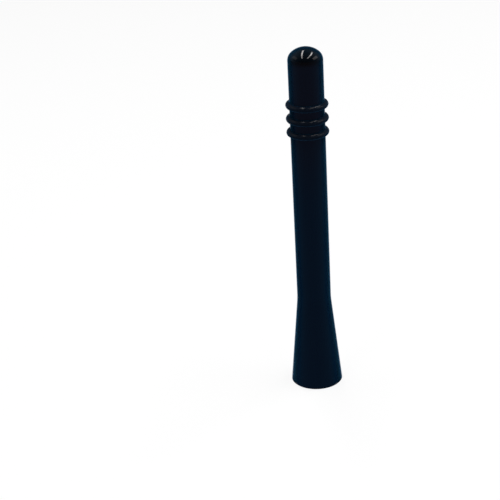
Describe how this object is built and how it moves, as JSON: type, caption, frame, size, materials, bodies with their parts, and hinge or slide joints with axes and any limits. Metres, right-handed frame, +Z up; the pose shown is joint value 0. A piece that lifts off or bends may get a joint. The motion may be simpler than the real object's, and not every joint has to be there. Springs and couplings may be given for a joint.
{
  "type": "car mast aerial",
  "caption": "Short turned mast aerial with a domed tip, a flared foot and rubber rings near the top; it screws onto the stud of a car's aerial base.",
  "frame": {"origin": "centre of the foot's flat face, on the mast's axis", "axes": "+Z up the mast from foot to tip; the form is round, so X and Y are free"},
  "size_m": [0.015, 0.015, 0.1016],
  "materials": {
    "anodised_aluminium": "gloss",
    "rubber": "satin"
  },
  "bodies": {
    "root": {"mast": "anodised_aluminium", "ring_upper": "rubber", "ring_middle": "rubber", "ring_lower": "rubber"}
  },
  "joints": []
}
